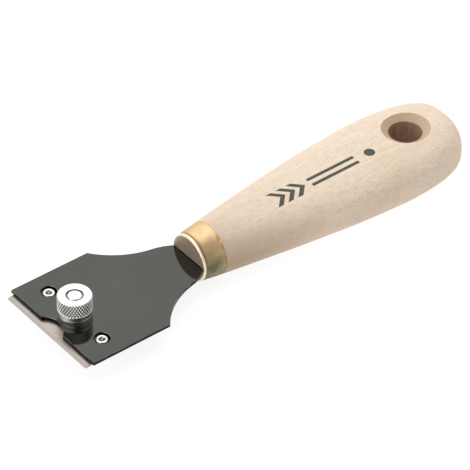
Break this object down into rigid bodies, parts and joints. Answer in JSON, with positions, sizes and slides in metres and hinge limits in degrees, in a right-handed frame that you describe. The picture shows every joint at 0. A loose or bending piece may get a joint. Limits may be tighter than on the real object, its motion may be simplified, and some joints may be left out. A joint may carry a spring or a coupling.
{
  "type": "clamped-blade paint scraper",
  "caption": "Hand scraper: waisted steel plate with a replaceable blade clamped under it by a knurled thumb nut, brass ferrule, flat oval wooden handle with hanging hole.",
  "frame": {"origin": "middle of the whole tool's length and width, level with the handle's underside", "axes": "+X from the blade edge to the handle's end, +Z the thumb nut's side"},
  "size_m": [0.2016, 0.053, 0.023],
  "materials": {
    "beech": "satin, short flecks along the grain",
    "brass": "drawn, softly polished",
    "dark_steel": "dark, polished to a reflection",
    "blade_steel": "fine ground, ground bevel",
    "bright_steel": "bright zinc",
    "nickel": "bright nickel, diamond knurl"
  },
  "bodies": {
    "frame": {"handle": "beech", "ferrule": "brass", "main_plate": "dark_steel"},
    "blade": {"blade": "blade_steel"},
    "clamp": {"clamp_plate": "dark_steel", "clamp_stud": "bright_steel", "locating_pin_left": "bright_steel", "locating_pin_right": "bright_steel"},
    "nut": {"thumb_nut": "nickel"}
  },
  "joints": [
    {"name": "nut_turn", "type": "hinge", "parent": "frame", "child": "nut", "pos_m": [-0.0871, 0, 0.01185], "axis": [0, 0, 1], "range_deg": [0, 864]},
    {"name": "clamp_drop", "type": "slide", "parent": "frame", "child": "clamp", "axis": [0, 0, -1], "range_m": [0, 0.0024]},
    {"name": "blade_slide", "type": "slide", "parent": "frame", "child": "blade", "axis": [-1, 0, 0], "range_m": [0, 0.02]}
  ],
  "couplings": [
    {"joint": "nut_turn", "follows": "clamp_drop", "rad_per_m": 6283.2}
  ]
}
